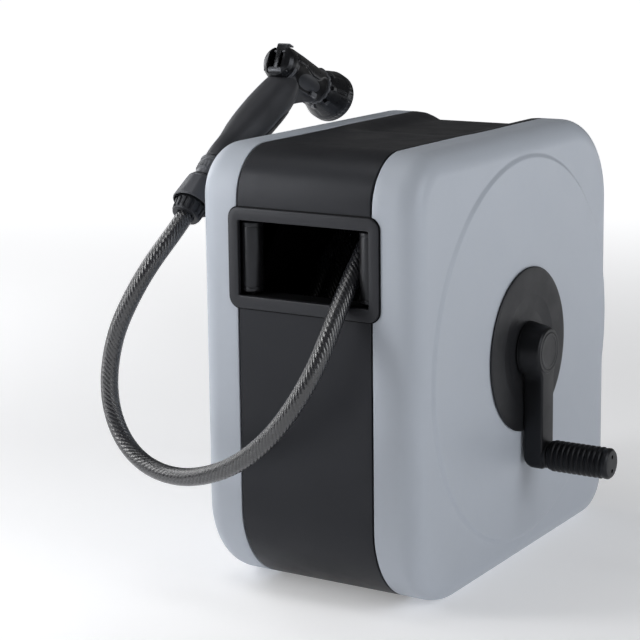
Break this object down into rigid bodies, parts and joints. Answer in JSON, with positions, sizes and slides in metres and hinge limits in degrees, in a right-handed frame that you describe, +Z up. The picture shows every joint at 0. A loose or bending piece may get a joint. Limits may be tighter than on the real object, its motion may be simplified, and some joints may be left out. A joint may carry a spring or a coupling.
{
  "type": "garden hose reel",
  "caption": "Box-type garden hose reel: rounded case, crank-driven drum, hose led out between two guide rollers to a thumb-lever spray nozzle held on the left side.",
  "frame": {"origin": "centre of the flat bottom of the case, on the floor plane", "axes": "+Z up, +X towards the crank side, -Y towards the front window"},
  "size_m": [0.4199, 0.4956, 0.5091],
  "materials": {
    "shell_plastic": "satin light blue-grey moulding",
    "band_plastic": "fine matte charcoal moulding",
    "hub_plastic": "satin charcoal moulding",
    "crank_plastic": "matte charcoal moulding",
    "roller_plastic": "smooth black moulding",
    "drum_plastic": "grey moulding",
    "bush_plastic": "white low-friction moulding",
    "hose_rubber": "braided charcoal hose, glossy skin",
    "seal_rubber": "black rubber",
    "steel": "zinc plated steel",
    "nozzle_plastic": "satin charcoal moulding",
    "nozzle_trim": "satin dark grey moulding",
    "connector_plastic": "satin charcoal moulding"
  },
  "bodies": {
    "case": {"left_shell": "shell_plastic", "right_shell": "shell_plastic", "front_band": "band_plastic", "rear_band": "band_plastic", "window_frame": "band_plastic", "roller_pins": "steel", "left_bush": "bush_plastic", "right_bush": "bush_plastic", "rubber_feet": "seal_rubber", "case_screws": "steel", "nozzle_holder": "band_plastic", "holder_screws": "steel", "free_hose": "hose_rubber"},
    "drum": {"drum_core": "drum_plastic", "drum_flange_left": "drum_plastic", "drum_flange_right": "drum_plastic", "hose_pack": "hose_rubber", "water_spigot": "bush_plastic", "spigot_o_rings": "seal_rubber", "drum_elbow": "bush_plastic", "hose_clamp": "steel", "crank_shaft": "steel", "hub_disc": "hub_plastic", "crank_arm": "crank_plastic", "crank_bolt": "steel", "hub_cap": "hub_plastic", "grip_pin": "steel"},
    "grip": {"crank_grip": "crank_plastic", "grip_end_cap": "hub_plastic"},
    "left_roller": {"roller_left": "roller_plastic"},
    "right_roller": {"roller_right": "roller_plastic"},
    "inlet": {"inlet_elbow": "connector_plastic", "inlet_nipple": "connector_plastic"},
    "nozzle": {"nozzle_handle": "nozzle_plastic", "nozzle_barrel": "nozzle_plastic", "nozzle_rear_cap": "nozzle_plastic", "lever_pin": "steel", "valve_seat": "seal_rubber", "head_ring": "nozzle_trim", "nozzle_stub": "nozzle_trim", "connector_body": "connector_plastic", "hose_nut": "connector_plastic"},
    "lever": {"thumb_lever": "nozzle_trim"},
    "spool": {"valve_spool": "bush_plastic"},
    "head": {"spray_head": "nozzle_plastic", "spray_face": "nozzle_trim"},
    "sleeve": {"connector_sleeve": "connector_plastic"}
  },
  "joints": [
    {"name": "drum_spin", "type": "hinge", "parent": "case", "child": "drum", "pos_m": [0, 0.007, 0.217], "axis": [1, 0, 0], "continuous": true},
    {"name": "grip_spin", "type": "hinge", "parent": "drum", "child": "grip", "pos_m": [0.17, 0.007, 0.1125], "axis": [1, 0, 0], "continuous": true},
    {"name": "left_roller_spin", "type": "hinge", "parent": "case", "child": "left_roller", "pos_m": [-0.064, -0.199, 0.3275], "axis": [0, 0, 1], "continuous": true},
    {"name": "right_roller_spin", "type": "hinge", "parent": "case", "child": "right_roller", "pos_m": [0.064, -0.199, 0.3275], "axis": [0, 0, 1], "continuous": true},
    {"name": "inlet_swivel", "type": "hinge", "parent": "case", "child": "inlet", "pos_m": [-0.138, 0.007, 0.217], "axis": [1, 0, 0], "continuous": true},
    {"name": "nozzle_lift", "type": "slide", "parent": "case", "child": "nozzle", "axis": [0, 0, 1], "range_m": [0, 0.03]},
    {"name": "lever_swing", "type": "hinge", "parent": "nozzle", "child": "lever", "pos_m": [-0.15, -0.02116, 0.48293], "axis": [1, 0, 0], "range_deg": [0, 25]},
    {"name": "spool_slide", "type": "slide", "parent": "nozzle", "child": "spool", "axis": [0, -0.9135, 0.4067], "range_m": [0, 0.004]},
    {"name": "head_turn", "type": "hinge", "parent": "nozzle", "child": "head", "pos_m": [-0.15, 0.03, 0.47], "axis": [0, 0.9135, -0.4067], "continuous": true},
    {"name": "sleeve_slide", "type": "slide", "parent": "nozzle", "child": "sleeve", "axis": [0, -0.7431, -0.6691], "range_m": [0, 0.004], "stiffness_N_per_m": 200, "springref_m": -0.002}
  ],
  "couplings": [
    {"joint": "lever_swing", "follows": "spool_slide", "rad_per_m": 109}
  ]
}
